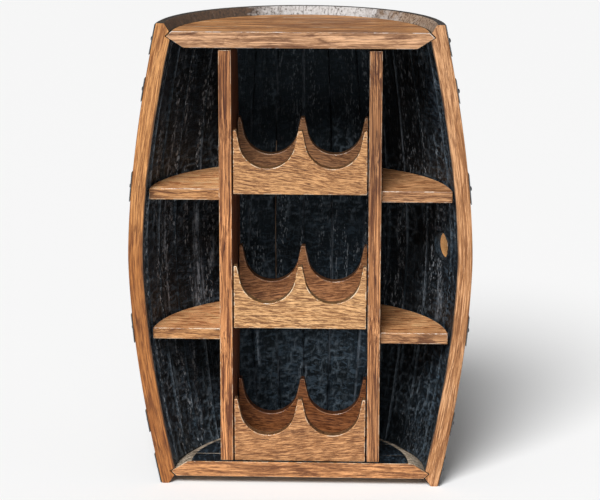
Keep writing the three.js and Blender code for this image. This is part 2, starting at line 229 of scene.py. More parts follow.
# ---------------------------------------------------------------- materials
class Shader:
    """Builds one material's nodes, a call for each."""

    def __init__(self, name):
        self.material = bpy.data.materials.new(name)
        self.material.use_nodes = True
        self.tree = self.material.node_tree
        self.tree.nodes.clear()
        output = self.add("OutputMaterial")
        self.surface = self.add("BsdfPrincipled")
        self.link(self.surface.outputs[0], output.inputs[0])

    def add(self, kind):
        return self.tree.nodes.new("ShaderNode" + kind)

    def link(self, source, target):
        self.tree.links.new(source, target)

    def put(self, socket, value):
        if isinstance(value, bpy.types.NodeSocket):
            self.link(value, socket)
        else:
            socket.default_value = value

    def attribute(self, name, output="Vector"):
        node = self.add("Attribute")
        node.attribute_name = name
        return node.outputs[output]

    def noise(self, vector, along, across, detail, offset=(0, 0, 0), roughness=0.55, distortion=0.0,
              output="Fac"):
        """Noise with this many cells to a metre along and across the grain."""
        place = self.add("Mapping")
        self.link(vector, place.inputs["Vector"])
        place.inputs["Scale"].default_value = (along, across, across)
        place.inputs["Location"].default_value = offset
        node = self.add("TexNoise")
        self.link(place.outputs[0], node.inputs["Vector"])
        settings = {"Scale": 1.0, "Detail": detail, "Roughness": roughness, "Distortion": distortion}
        for name, value in settings.items():
            node.inputs[name].default_value = value
        return node.outputs[output]

    def warp(self, vector, along, across, reach):
        """Pushes the vector about across the grain by smooth noise, up to reach in metres."""
        shift = self.add("VectorMath")
        shift.operation = "MULTIPLY_ADD"
        self.link(self.noise(vector, along, across, 1, roughness=0.5, output="Color"), shift.inputs[0])
        shift.inputs[1].default_value = (0, reach, reach)
        self.link(vector, shift.inputs[2])
        return shift.outputs[0]

    def ramp(self, value, *stops):
        """stops are (position, grey)."""
        node = self.add("ValToRGB")
        self.link(value, node.inputs[0])
        elements = node.color_ramp.elements
        while len(elements) < len(stops):
            elements.new(0.5)
        for element, (position, grey) in zip(elements, stops):
            element.position = position
            element.color = (grey, grey, grey, 1)
        return node.outputs[0]

    def over(self, value, low, high):
        """A mask that rises from 0 to 1 between two values."""
        return self.ramp(value, (low, 0), (high, 1))

    def under(self, value, low, high):
        """A mask that falls from 1 to 0 between two values."""
        return self.ramp(value, (low, 1), (high, 0))

    def mix(self, factor, first, second, blend="MIX"):
        node = self.add("Mix")
        node.data_type = "RGBA"
        node.blend_type = blend
        self.put(node.inputs["Factor"], factor)
        for socket, value in ((node.inputs["A"], first), (node.inputs["B"], second)):
            self.put(socket, value if isinstance(value, bpy.types.NodeSocket) else (*value, 1))
        return node.outputs["Result"]

    def paint(self, colour, tone, mask, amount):
        """Lays a tone over the colour where the mask is 1, as strongly as amount says."""
        return self.mix(self.times(mask, amount), colour, tone)

    def math(self, operation, first, second=0.0):
        node = self.add("Math")
        node.operation = operation
        self.put(node.inputs[0], first)
        self.put(node.inputs[1], second)
        return node.outputs[0]

    def times(self, first, second):
        return self.math("MULTIPLY", first, second)

    def split(self, vector):
        node = self.add("SeparateXYZ")
        self.link(vector, node.inputs[0])
        return node.outputs

    def bump(self, height, strength, distance, below=None):
        node = self.add("Bump")
        self.link(height, node.inputs["Height"])
        node.inputs["Strength"].default_value = strength
        node.inputs["Distance"].default_value = distance
        if below is not None:
            self.link(below, node.inputs["Normal"])
        return node.outputs[0]

    def finish(self, colour, roughness, normal=None, metallic=0.0, **uniform):
        """Sets the surface. The sockets in uniform have an underscore for each space in their names."""
        self.put(self.surface.inputs["Base Color"], colour)
        self.put(self.surface.inputs["Roughness"], roughness)
        self.put(self.surface.inputs["Metallic"], metallic)
        if normal is not None:
            self.link(normal, self.surface.inputs["Normal"])
        for socket, value in uniform.items():
            self.surface.inputs[socket.replace("_", " ")].default_value = value
        return self.material


BRIGHTEST_WOOD = (0.92, 0.68, 0.52)
BARE_WOOD = (0.78, 0.64, 0.50)
STAIN = (0.035, 0.028, 0.024)
IRON_STAIN = (0.022, 0.021, 0.024)
SEAM_DIRT = (0.012, 0.009, 0.007)
WEATHERED_BROWN = (0.12, 0.072, 0.045)
WEATHERED_TANS = (0.17, 0.10, 0.06), (0.36, 0.27, 0.20)
MILL_SCALE = (0.075, 0.078, 0.083), (0.15, 0.152, 0.156)
RUBBED_STEEL = (0.26, 0.26, 0.26)
RUST = (0.12, 0.045, 0.018)
BLACK_COATING = (0.018, 0.018, 0.02)
WORN_COATING = (0.16, 0.16, 0.165)
CHAR_EDGE = (0.010, 0.008, 0.007)


def growth_bands(s, grain):
    """Dark bands over the wood, each sharp on one side and soft on the other."""
    figure = s.noise(grain, 1.8, 14, 2, (0.7, 0.2, 0.4), roughness=0.4)
    ring = s.math("FRACT", s.math("ADD", s.times(figure, 12.0), s.times(s.split(grain)[1], 130.0)))
    return s.ramp(ring, (0.0, 1), (0.10, 0.8), (0.22, 0.12), (0.5, 0.0), (0.90, 0.0), (0.97, 1))


def iron_and_dirt(s, colour, straight):
    """Runs of iron stain where marks.x is 1, and dirt where marks.z is 1."""
    iron, _, seam = s.split(s.attribute("marks"))
    drips = s.noise(straight, 3, 130, 4, (6, 2, 1), roughness=0.6)
    colour = s.paint(colour, IRON_STAIN, s.times(iron, s.ramp(drips, (0.38, 0.15), (0.62, 1))), 0.85)
    return s.paint(colour, SEAM_DIRT, seam, 0.75)


def burnt_edge(s, colour, streaks):
    """A ragged black edge next to the char, from which marks.x is the depth in metres."""
    ragged = s.times(s.math("SUBTRACT", streaks, 0.5), 6 * MM)
    depth = s.math("ADD", s.split(s.attribute("marks"))[0], ragged)
    return s.mix(s.under(depth, 0.8 * MM, 2.2 * MM), colour, CHAR_EDGE)


def oak(name, light, middle, dark, contrast=1.0, roughness=(0.42, 0.6), wave=6 * MM, streak=(9, 340),
        rays=0.0, knots=0.0, stain=0.0, rubbed=0.0, char_margin=False, weathered=False, shine=0.4):
    """Oak, from the grain attribute: x along the grain, y and z across it, in metres.

    streak is how many dark or pale streaks there are to a metre, along and across the grain, and wave is
    how far they wander. rays, knots, stain and rubbed are how strong each of these is.
    """
    s = Shader(name)
    straight = s.attribute("grain")
    grain = s.warp(straight, 5, 11, 2 * wave)
    broad = s.noise(grain, 2.2, 26, 3, distortion=0.3)
    band = growth_bands(s, grain)
    wander = s.noise(grain, 7, 50, 3, (2, 5, 1))
    streaks = s.noise(grain, *streak, 5, roughness=0.7)
    lines = s.noise(grain, 1.3 * streak[0], 560, 3, (4, 1, 6), roughness=0.6)
    pores = s.noise(grain, 45, 1100, 2, roughness=0.5)

    pale = [min(1.0, lift * part) for lift, part in zip((1.5, 1.6, 1.8), light)]
    colour = s.mix(s.over(broad, 0.40, 0.60), middle, light)
    band_mask = s.times(band, s.over(wander, 0.42, 0.52))
    colour = s.paint(colour, dark, band_mask, 0.8 * contrast)
    colour = s.paint(colour, dark, s.under(streaks, 0.42, 0.46), 0.9 * contrast)
    colour = s.paint(colour, pale, s.over(streaks, 0.53, 0.57), 0.85 * contrast)
    colour = s.paint(colour, dark, s.under(lines, 0.40, 0.44), 0.85 * contrast)
    if rays:
        flecks = s.noise(grain, 60, 500, 3, (3.1, 1.7, 4.2), roughness=0.6)
        colour = s.paint(colour, pale, s.over(flecks, 0.55, 0.60), rays)
        colour = s.paint(colour, dark, s.under(flecks, 0.40, 0.45), rays)
    dashes = s.times(s.under(pores, 0.37, 0.43), s.ramp(band, (0.0, 0.45), (0.6, 1.0)))
    colour = s.paint(colour, [0.4 * part for part in dark], dashes, 0.8 * contrast)
    if knots:
        swirls = s.noise(straight, 16, 60, 4, (1.1, 4.7, 2.2), roughness=0.6, distortion=1.2)
        colour = s.paint(colour, dark, s.over(swirls, 0.56, 0.61), knots)
    if rubbed:
        worn = s.noise(straight, 34, 80, 4, (2.2, 0.4, 5.1), roughness=0.7)
        colour = s.paint(colour, BARE_WOOD, s.over(worn, 0.50, 0.57), rubbed)
    if stain:
        blotch = s.noise(grain, 4, 9, 5, roughness=0.65, distortion=0.6)
        colour = s.paint(colour, STAIN, s.over(blotch, 0.45, 0.68), stain)
    if weathered:
        colour = iron_and_dirt(s, colour, straight)
    tinted = s.mix(1.0, colour, s.attribute("tint", "Color"), "MULTIPLY")
    colour = s.mix(1.0, tinted, BRIGHTEST_WOOD, "DARKEN")
    if char_margin:
        colour = burnt_edge(s, colour, streaks)

    rough = s.ramp(wander, (0.38, roughness[1]), (0.6, roughness[0]))
    coarse = s.math("SUBTRACT", s.over(streaks, 0.38, 0.53), s.times(band_mask, 0.5))
    normal = s.bump(coarse, 0.3, 0.3 * MM)
    normal = s.bump(s.over(pores, 0.32, 0.45), 0.3, 0.25 * MM, normal)
    return s.finish(colour, rough, normal, Specular_IOR_Level=shine)


CHAR = {
    "black": (0.0013, 0.0014, 0.0016),
    "ashy": (0.010, 0.016, 0.024),
    "between_fibres": (0.0006, 0.0006, 0.0007),
    "crazed": (0.054, 0.080, 0.108),
    "ridge": (0.092, 0.118, 0.142),
    "thread": (0.25, 0.28, 0.31),
    "dust": (0.36, 0.42, 0.49),
    "painted_glint": (0.30, 0.33, 0.36),
}
CHAR_SHEEN = (0.62, 0.84, 1.0, 1)


def charred(name):
    """Charred oak: blue-black, fibrous along the grain and cracked into plates.

    The marks attribute says where a plate's ridge is (x), which is painted pale as a highlight, how ashy it
    is (y), which also carries painted light and a painted reflection, and how dusty (z), and the threads
    attribute how many pale threads it has.
    """
    s = Shader(name)
    straight = s.attribute("grain")
    grain = s.warp(straight, 14, 40, 8 * MM)
    ridge, ash, dust = s.split(s.attribute("marks"))
    patches = s.noise(grain, 7, 16, 5, roughness=0.65, distortion=0.5)
    fibres = s.noise(grain, 18, 300, 5, roughness=0.7)
    filaments = s.noise(straight, 16, 260, 4, (3, 1, 2), roughness=0.7)
    fine = s.noise(straight, 120, 420, 4, roughness=0.65)
    crazing = s.noise(grain, 150, 60, 4, (1, 5, 3), roughness=0.65, distortion=0.8)
    columns = s.noise(straight, 4.5, 42, 4, (4, 2, 7), roughness=0.62)
    breaks = s.noise(straight, 90, 160, 3, (5, 1, 2), roughness=0.6)
    specks = s.noise(straight, 110, 340, 1, (8, 3, 5))

    # paler bluish patches where marks.y is high: ash, with painted light towards the foot and a painted
    # reflection at the right side
    colour = s.mix(s.times(s.over(patches, 0.42, 0.60), ash), CHAR["black"], CHAR["ashy"])
    colour = s.mix(s.ramp(fibres, (0.41, 0.95), (0.51, 0)), colour, CHAR["between_fibres"])
    colour = s.mix(s.times(s.over(crazing, 0.52, 0.59), s.times(ash, 0.85)), colour, CHAR["crazed"])
    # painted highlight: the plates' ridges are painted pale blue
    rim = s.times(ridge, s.ramp(breaks, (0.40, 0.1), (0.55, 1)))
    colour = s.paint(colour, CHAR["ridge"], rim, 0.9)
    spread = s.times(s.ramp(ash, (0.0, 0.25), (0.45, 0.8), (0.9, 0.25)), s.attribute("threads", "Fac"))
    dusting = s.times(s.over(columns, 0.49, 0.61), spread)
    thread = s.times(s.over(filaments, 0.53, 0.59), s.times(dusting, s.over(breaks, 0.46, 0.56)))
    colour = s.paint(colour, CHAR["thread"], thread, 0.9)
    strands = s.times(s.ramp(fibres, (0.42, 0.1), (0.56, 1)), s.ramp(breaks, (0.38, 0.2), (0.54, 1)))
    colour = s.mix(s.times(dust, strands), colour, CHAR["dust"])
    # painted glints: pale specks, thickest in the dusty runs
    dots = s.times(s.over(specks, 0.58, 0.65), s.ramp(dusting, (0.0, 0.08), (0.4, 1)))
    colour = s.paint(colour, CHAR["painted_glint"], dots, 0.9)

    rough = s.ramp(patches, (0.3, 0.55), (0.7, 0.32))
    normal = s.bump(crazing, 0.8, 2.5 * MM)
    normal = s.bump(fibres, 0.9, 2.4 * MM, normal)
    normal = s.bump(fine, 0.8, 1.2 * MM, normal)
    return s.finish(colour, rough, normal, Specular_IOR_Level=0.36, Specular_Tint=CHAR_SHEEN)


def chime_oak(name, light, middle, dark):
    """Bare, weathered oak inside the barrel's rim.

    It is whitish where marks.x is 1, and elsewhere goes from dark brown to tan as marks.y says.
    """
    s = Shader(name)
    grain = s.attribute("grain")
    pale, tan, _ = s.split(s.attribute("marks"))
    blotch = s.noise(grain, 30, 26, 5, roughness=0.7, distortion=0.7)
    scars = s.noise(grain, 60, 240, 4, (2, 7, 1), roughness=0.65)
    whitish = s.mix(s.over(scars, 0.35, 0.60), middle, light)
    brown = s.mix(s.over(scars, 0.35, 0.65), dark, WEATHERED_BROWN)
    tanned = s.mix(s.over(scars, 0.40, 0.60), *WEATHERED_TANS)
    share = s.math("ADD", pale, s.math("SUBTRACT", s.times(blotch, 1.5), 0.75))
    colour = s.mix(s.over(share, 0.25, 0.75), s.mix(tan, brown, tanned), whitish)
    colour = s.mix(s.ramp(scars, (0.36, 0.8), (0.44, 0)), colour, dark)
    rough = s.ramp(blotch, (0.3, 0.8), (0.7, 0.6))
    return s.finish(colour, rough, s.bump(scars, 0.5, 0.6 * MM), Specular_IOR_Level=0.25)


def hoop_steel(name):
    """Dark weathered hoop steel: mill scale, rubbed streaks along the band and small rust spots."""
    s = Shader(name)
    grain = s.attribute("grain")
    cloud = s.noise(grain, 18, 26, 5, roughness=0.65, distortion=0.4)
    rubbed = s.noise(grain, 9, 420, 4, roughness=0.6)
    spots = s.noise(grain, 150, 150, 4, roughness=0.7)
    rust = s.times(s.over(spots, 0.58, 0.70), s.over(cloud, 0.4, 0.7))
    colour = s.mix(s.over(cloud, 0.3, 0.7), *MILL_SCALE)
    colour = s.paint(colour, RUBBED_STEEL, s.over(rubbed, 0.5, 0.7), 0.5)
    colour = s.paint(colour, RUST, rust, 0.75)
    metallic = s.ramp(rust, (0.1, 0.85), (0.6, 0.1))
    rough = s.mix(rust, s.ramp(cloud, (0.3, 0.36), (0.7, 0.56)), (0.85, 0.85, 0.85))
    normal = s.bump(rubbed, 0.12, 0.15 * MM)
    normal = s.bump(spots, 0.2, 0.2 * MM, normal)
    return s.finish(colour, rough, normal, metallic)


def black_steel(name):
    """Black coated screw, rubbed bright in places. It reads no attribute, because CAD screws have none."""
    s = Shader(name)
    worn = s.noise(s.add("TexCoord").outputs["Object"], 420, 420, 4, roughness=0.65)
    colour = s.mix(s.over(worn, 0.56, 0.72), BLACK_COATING, WORN_COATING)
    rough = s.ramp(worn, (0.4, 0.42), (0.7, 0.6))
    return s.finish(colour, rough, s.bump(worn, 0.15, 0.1 * MM), 0.75)


def wood(light, middle, dark):
    return {"light": light, "middle": middle, "dark": dark}


def make_materials():
    varnished = wood((0.42, 0.195, 0.078), (0.31, 0.130, 0.046), (0.085, 0.022, 0.005))
    banded = wood((0.49, 0.228, 0.092), (0.225, 0.090, 0.031), (0.085, 0.022, 0.005))
    honey = wood((0.43, 0.215, 0.088), (0.33, 0.150, 0.055), (0.100, 0.030, 0.007))
    sawn = wood((0.45, 0.205, 0.078), (0.36, 0.145, 0.046), (0.150, 0.044, 0.009))
    raw = wood((0.40, 0.27, 0.17), (0.28, 0.18, 0.11), (0.09, 0.055, 0.035))
    grey = wood((0.56, 0.54, 0.53), (0.38, 0.355, 0.34), (0.05, 0.036, 0.028))
    aged = wood((0.26, 0.155, 0.090), (0.18, 0.104, 0.060), (0.046, 0.027, 0.017))
    scorched = wood((0.46, 0.38, 0.30), (0.30, 0.24, 0.18), (0.020, 0.016, 0.013))
    blackened = wood((0.06, 0.046, 0.036), (0.034, 0.026, 0.021), (0.012, 0.010, 0.009))
    bright = wood((0.88, 0.48, 0.19), (0.74, 0.35, 0.12), (0.30, 0.12, 0.035))
    dry = {"roughness": (0.6, 0.8)}
    return {
        "board": oak("oak_varnished", **varnished, contrast=1.1, streak=(4, 330)),
        "shelf": oak("oak_shelf", **honey, contrast=0.95, wave=10 * MM, streak=(12, 380), rays=0.35,
                     knots=0.8),
        "flecked": oak("oak_flecked", **honey, contrast=0.9, wave=12 * MM, streak=(34, 480), rays=0.55),
        # the eased edges are paler and glossier: wear, with a painted highlight along them
        "edge": oak("oak_worn_edge_highlight", **honey, contrast=0.7, roughness=(0.15, 0.4), rubbed=0.5, shine=0.8),
        "sawn": oak("oak_sawn_stave", **sawn, contrast=0.8, wave=3 * MM, streak=(14, 430),
                    char_margin=True),
        "raw": oak("oak_raw", **raw, **dry),
        "chime": chime_oak("oak_chime", **grey),
        "outside": oak("oak_outside", **aged, contrast=0.9, roughness=(0.5, 0.7), streak=(7, 380), stain=0.5,
                       weathered=True),
        "end": oak("oak_end_grain", **blackened, **dry),
        "bung": oak("oak_bung_hole", **bright, **dry, contrast=0.5),
        "head": oak("oak_head", **banded, contrast=0.75, streak=(6, 220), rays=0.2, knots=0.4),
        "char": charred("oak_charred"),
        "bevel": oak("oak_scorched_bevel", **scorched, **dry, stain=0.8),
        "hoop": hoop_steel("hoop_steel"),
        "screw": black_steel("screw_steel"),
    }


MATERIALS = make_materials()


# ---------------------------------------------------------------- making pieces
def add_to_scene(name, data):
    obj = bpy.data.objects.new(name, data)
    bpy.context.scene.collection.objects.link(obj)
    return obj


def new_object(name, verts, faces, slots, face_slots=None):
    mesh = bpy.data.meshes.new(name)
    mesh.from_pydata([tuple(v) for v in verts], [], faces)
    for slot in slots:
        mesh.materials.append(MATERIALS[slot])
    if face_slots is not None:
        mesh.polygons.foreach_set("material_index", np.asarray(face_slots, np.int32))
    mesh.polygons.foreach_set("use_smooth", np.full(len(mesh.polygons), True))
    mesh.update()
    obj = add_to_scene(name, mesh)
    fix_normals(obj)
    return obj


def quads(rings, sides):
    """The faces between rings of points."""
    faces = []
    for low in range(0, (rings - 1) * sides, sides):
        for i in range(sides):
            j = (i + 1) % sides
            faces.append((low + i, low + j, low + sides + j, low + sides + i))
    return faces


def ends(rings, sides):
    """A face over the first ring of points and one over the last."""
    total = rings * sides
    return [tuple(range(sides)), tuple(range(total - 1, total - sides - 1, -1))]


@contextmanager
def editing(obj):
    """Opens the object's mesh as a bmesh, and writes it back."""
    work = bmesh.new()
    work.from_mesh(obj.data)
    yield work
    work.to_mesh(obj.data)
    work.free()


def fix_normals(obj):
    with editing(obj) as work:
        bmesh.ops.recalc_face_normals(work, faces=work.faces)


def weld(obj, distance=0.001 * MM):
    with editing(obj) as work:
        bmesh.ops.remove_doubles(work, verts=work.verts, dist=distance)
        bmesh.ops.dissolve_degenerate(work, edges=work.edges, dist=distance)


def mark_sharp(obj, degrees):
    """Keeps edges steeper than this crisp while the rest is shaded smooth."""
    limit = math.radians(degrees)
    with editing(obj) as work:
        for edge in work.edges:
            edge.smooth = len(edge.link_faces) == 2 and edge.calc_face_angle(math.pi) < limit


def join(target, *others):
    """Joins plain meshes into the first one."""
    with editing(target) as work:
        for obj in others:
            work.from_mesh(obj.data)
            bpy.data.objects.remove(obj)


def bake_modifiers(obj):
    """Replaces the object's mesh by the one its modifiers make."""
    graph = bpy.context.evaluated_depsgraph_get()
    graph.update()
    mesh = bpy.data.meshes.new_from_object(obj.evaluated_get(graph))
    obj.modifiers.clear()
    obj.data = mesh


def cut_away(obj, cutter):
    hole = obj.modifiers.new("hole", "BOOLEAN")
    hole.object = cutter
    hole.operation = "DIFFERENCE"
    hole.solver = "EXACT"
    bake_modifiers(obj)
    bpy.data.objects.remove(cutter)


def ease_edges(obj, width):
    """Rounds the edges, and gives them the worn edge's material, rubbed paler as wear and as a painted
    highlight.
    """
    obj.data.materials.append(MATERIALS["edge"])
    bevel = obj.modifiers.new("eased_edges", "BEVEL")
    bevel.material = len(obj.data.materials) - 1
    bevel.width = width
    bevel.segments = 3
    bevel.limit_method = "ANGLE"
    bevel.angle_limit = math.radians(32)
    bevel.harden_normals = True
    bevel.use_clamp_overlap = True
    bake_modifiers(obj)


def coordinates(obj):
    co = np.empty(len(obj.data.vertices) * 3, np.float32)
    obj.data.vertices.foreach_get("co", co)
    return co.reshape(-1, 3).astype(float)


def store(obj, name, kind, field, values):
    """Writes an attribute with a value for each point, which the shaders read."""
    attribute = obj.data.attributes.new(name, kind, "POINT")
    attribute.data.foreach_set(field, np.asarray(values, np.float32).ravel())


def set_marks(obj, *marks):
    """Up to three shares, whose meaning is up to the material."""
    values = np.zeros((len(obj.data.vertices), 3))
    for column, mark in enumerate(marks):
        values[:, column] = mark
    store(obj, "marks", "FLOAT_VECTOR", "vector", values)


def set_grain(obj, grain, tint=(1, 1, 1)):
    """Where each point lies in its own plank, and the plank's colour."""
    store(obj, "grain", "FLOAT_VECTOR", "vector", grain)
    colours = np.ones((len(obj.data.vertices), 4))
    colours[:, :3] = tint
    store(obj, "tint", "FLOAT_COLOR", "color", colours)


def plank_grain(obj, axes, seed, tint, tilt=0.0):
    """Straight plank: axes name the row axes along, across and through the wood."""
    rng = np.random.default_rng(seed)
    co = coordinates(obj)[:, ["xyz".index(a) for a in axes]]
    co[:, 1] += co[:, 0] * tilt
    heart = np.array([rng.uniform(-4, 4), rng.uniform(-0.06, 0.06), rng.uniform(0.02, 0.07)])
    set_grain(obj, co - co.mean(0) + heart, tint)


def part(obj, node, slot):
    """Puts a finished piece in a CAD node's place."""
    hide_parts(node)
    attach(obj, "root")


def prism(name, outline, near, far, place, slot="board"):
    """A flat board: an outline of (u, v) points between two planes, put in place by place(u, v, w)."""
    count = len(outline)
    verts = [place(u, v, w) for w in (near, far) for u, v in outline]
    sides = [(i, i + count, (i + 1) % count + count, (i + 1) % count) for i in range(count)]
    return new_object(name, verts, ends(2, count) + sides, [slot])


def arc(centre, radius, start, end, steps):
    turns = np.linspace(start, end, steps + 1)
    return [(centre[0] + radius * math.cos(t), centre[1] + radius * math.sin(t)) for t in turns]


# ---------------------------------------------------------------- staves
INNER_CELL = 3 * MM
HEIGHT_CELL = 4 * MM
SAWN_EASE = 1.6 * MM
JOINT_EASE = 1.1 * MM
ROUNDING = (0.3, 1.0)  # how far round a corner its points are
SIDE_SHARES = (0.25, 0.5, 0.75)
END_EASE_DEPTHS = [0, 0.4 * MM, 1.2 * MM]
END_EASE = [1.2 * MM, 0.4 * MM, 0]
CHAR_FULL_DEPTH = 50 * MM  # from a stave's end, where the char has its full relief
STAVE_SLOTS = ["outside", "sawn", "raw", "char", "chime", "end", "bung"]
BARE_SEAM_STAVE, BARE_SEAM_HEIGHTS = "stave_08", (0.27, 0.62)  # raw wood shows on this stave's left edge
LEFT_TINTS = (0.75, 0.61, 0.37), (1.14, 1.15, 1.00)  # of the left sawn face: below and above mid height
RIGHT_TINT = (1.12, 1.25, 1.46)


def stave_angles(node):
    co = coordinates(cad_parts[node])
    angles = np.arctan2(co[:, 0], co[:, 1] - SAWN_Y)
    return angles.min(), angles.max()


def stave_heights():
    """Height levels: fine over the bow, with one at each corner of the croze and chime."""
    low = [*END_EASE_DEPTHS, 6 * MM, 11 * MM, CHIME_DEPTH, 20 * MM, CROZE_DEPTH, 27.5 * MM, CROZE_LIP_DEPTH]
    rows = round((HEIGHT - 2 * CROZE_LIP_DEPTH) / HEIGHT_CELL)
    middle = np.linspace(CROZE_LIP_DEPTH, HEIGHT - CROZE_LIP_DEPTH, rows + 1)[1:-1]
    return np.array([*low, *middle, *[HEIGHT - depth for depth in reversed(low)]])


def stave_section(start, end, sawn_start, sawn_end, heights):
    """The stave's section, listed round: each point's angle and radius at every height, and its zone."""
    end_ease = np.interp(np.minimum(heights, HEIGHT - heights), END_EASE_DEPTHS, END_EASE)
    outside = outer_radius(heights) - end_ease
    inside = wall_radius(heights) + end_ease
    start_ease, stop_ease = [SAWN_EASE if sawn else JOINT_EASE for sawn in (sawn_start, sawn_end)]
    start_zone, stop_zone = ["sawn" if sawn else "joint" for sawn in (sawn_start, sawn_end)]
    columns = max(6, round((end - start) * INNER_BILGE_RADIUS / INNER_CELL))
    angles, radii, zones = [], [], []

    def add(angle, radius, zone):
        angles.append(np.broadcast_to(angle, heights.shape))
        radii.append(radius)
        zones.append(zone)

    def face(radius, shares, zone):
        first, last = start + start_ease / radius, end - stop_ease / radius
        for share in shares:
            add(first * (1 - share) + last * share, radius, zone)

    def corner(edge, turn, ease, radius, sink, steps, zone):
        for step in steps:
            add(edge + turn * ease * (1 - step) / radius, radius + sink * ease * step**2, zone)

    def side(edge, first, second, zone):
        for share in SIDE_SHARES:
            add(edge, first * (1 - share) + second * share, zone)

    face(outside, np.linspace(0, 1, max(4, columns // 3) + 1), "outside")
    corner(end, -1, stop_ease, outside, -1, ROUNDING, stop_zone)
    side(end, outside, inside, stop_zone)
    corner(end, -1, stop_ease, inside, 1, reversed(ROUNDING), "sawn" if sawn_end else "seam_end")
    face(inside, np.linspace(1, 0, columns + 1), "inside")
    corner(start, 1, start_ease, inside, 1, ROUNDING, "sawn" if sawn_start else "seam_start")
    side(start, inside, outside, start_zone)
    corner(start, 1, start_ease, outside, -1, reversed(ROUNDING), start_zone)
    return np.array(angles), np.array(radii), zones


def stave_slot(node, first, second, height):
    """Which material a stave's face has, from the zones of its two corners and its height."""
    zones = {first, second}
    if zones == {"outside"}:
        return "outside"
    if "sawn" in zones:
        return "sawn"
    if min(height, HEIGHT - height) < CROZE_LIP_DEPTH:
        return "chime"
    if zones & {"seam_start", "seam_end"}:
        low, high = BARE_SEAM_HEIGHTS
        bare = node == BARE_SEAM_STAVE and "seam_start" in zones and low < height < high
        return "raw" if bare else "char"
    return "char" if zones == {"inside"} else "raw"


def make_stave(node, index, count):
    rng = np.random.default_rng(100 + index)
    start, end = stave_angles(node)
    sawn_start, sawn_end = index == 1, index == count
    heights = stave_heights()
    angle, radius, zones = stave_section(start, end, sawn_start, sawn_end, heights)
    level = np.broadcast_to(heights, angle.shape)
    relief, rim, dust = char_relief(angle * INNER_BILGE_RADIUS, level)
    edge = np.minimum(angle - start, end - angle) * INNER_BILGE_RADIUS
    depth = np.minimum(level, HEIGHT - level)
    fade = smooth(CROZE_LIP_DEPTH, CHAR_FULL_DEPTH, depth) * smooth(0, 4 * MM, edge)
    radius = radius + relief * fade * has_zone(zones, "inside")

    ring = len(zones)
    verts = around(radius, angle, level).transpose(1, 0, 2).reshape(-1, 3)
    faces = [(b, a, d, c) for a, b, c, d in quads(len(heights), ring)] + ends(len(heights), ring)
    slots = []
    for low, high in zip(heights, heights[1:]):
        slots += [stave_slot(node, zones[i], zones[(i + 1) % ring], (low + high) / 2) for i in range(ring)]
    slots += ["end", "end"]
    name = node.replace("stave", "barrel_stave")
    obj = new_object(name, verts, faces, STAVE_SLOTS, [STAVE_SLOTS.index(slot) for slot in slots])

    tint = RIGHT_TINT if sawn_end else np.full(3, rng.uniform(0.78, 1.15))
    along = level.T.ravel()
    if sawn_start:
        high = smooth(0.42, 0.60, along)[:, None]
        tint = np.array(LEFT_TINTS[0]) * (1 - high) + np.array(LEFT_TINTS[1]) * high
    across = ((angle - (start + end) / 2) * radius).T.ravel()
    through = radius - inner_radius(level)
    grain = [along + rng.uniform(-3, 3), across + index * 0.37, through.T.ravel() + 0.05]
    set_grain(obj, np.stack(grain, axis=-1), tint)
    set_marks(obj, *stave_marks(zones, angle, level, rim, dust, edge, through))
    store(obj, "threads", "FLOAT", "value", thread_share(np.degrees(angle), level).T)
    mark_sharp(obj, 40)
    part(obj, node, "stave_oak")
    return obj


def has_zone(zones, name):
    return np.array([zone == name for zone in zones])[:, None]


def thread_share(degrees, level):
    """How many pale threads the char has: fewer in the centre, high up, and at the foot except far left."""
    foot = smooth(0.32, 0.2, level) * smooth(-52, -40, degrees)
    centre = smooth(36, 22, np.abs(degrees + 4))
    return np.clip(1 - 0.8 * foot - 0.3 * smooth(0.55, 0.65, level) - 0.45 * centre, 0.05, 1)


def ash_and_painted_light(degrees, level):
    """How ashy and pale the char is, ash and painted light together: paler towards the foot and the middle as
    painted light from above, ash towards the left side, and a painted reflection at the right side.
    """
    towards_middle = 0.35 + 0.65 * smooth(55, 25, np.abs(degrees))
    low = (0.2 + 0.7 * smooth(0.62, 0.12, level) * towards_middle) * (1 - 0.65 * smooth(22, 42, degrees))
    sides = 0.8 * smooth(54, 76, degrees) + 0.26 * smooth(-34, -48, degrees)
    return np.clip(low + sides, 0, 1)


def stave_marks(zones, angle, level, rim, dust, edge, through):
    """The three marks at every point.

    Inside they say where a plate's rim is, how ashy the char is, with painted light towards the foot and a
    painted reflection at the right side, and how dusty. On the chime the first two say how pale and how tan
    it is. On the sawn faces the first is the depth from the char. Outside the first says how iron-stained it
    is, and the third how near a seam.
    """
    degrees = np.degrees(angle)
    at_end = np.minimum(level, HEIGHT - level) < CROZE_LIP_DEPTH + 0.1 * MM
    pale = smooth(-36, 2, degrees) * (1 - 0.8 * smooth(10, 54, degrees))
    tan = smooth(20, 55, degrees)
    patchy = smooth(0.42, 0.62, fractal(angle * 9, level / 0.09, 77)) * smooth(2, 4, np.abs(degrees + 57))
    dusty_seam = 0.6 * (1 - smooth(0.3 * MM, 1.9 * MM, edge)) * patchy
    outside = has_zone(zones, "outside")
    first = np.where(has_zone(zones, "sawn"), through, np.where(at_end, pale, rim))
    first = np.where(outside, iron_stain(level), first)
    second = np.where(at_end, tan, ash_and_painted_light(degrees, level))
    third = np.where(outside, 1 - smooth(0.2 * MM, 3 * MM, edge), np.clip(dusty_seam + dust, 0, 1))
    return [mark.T.ravel() for mark in (first, second, third)]


def iron_stain(level):
    """Dark stains that run above and below each hoop, strongest at its edges."""
    stain = np.zeros(level.shape)
    for node in HOOPS:
        low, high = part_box(node)
        gap = np.maximum(np.maximum(low.z - level, level - high.z), 0)
        stain = np.maximum(stain, np.exp(-gap / (11 * MM)))
    return stain


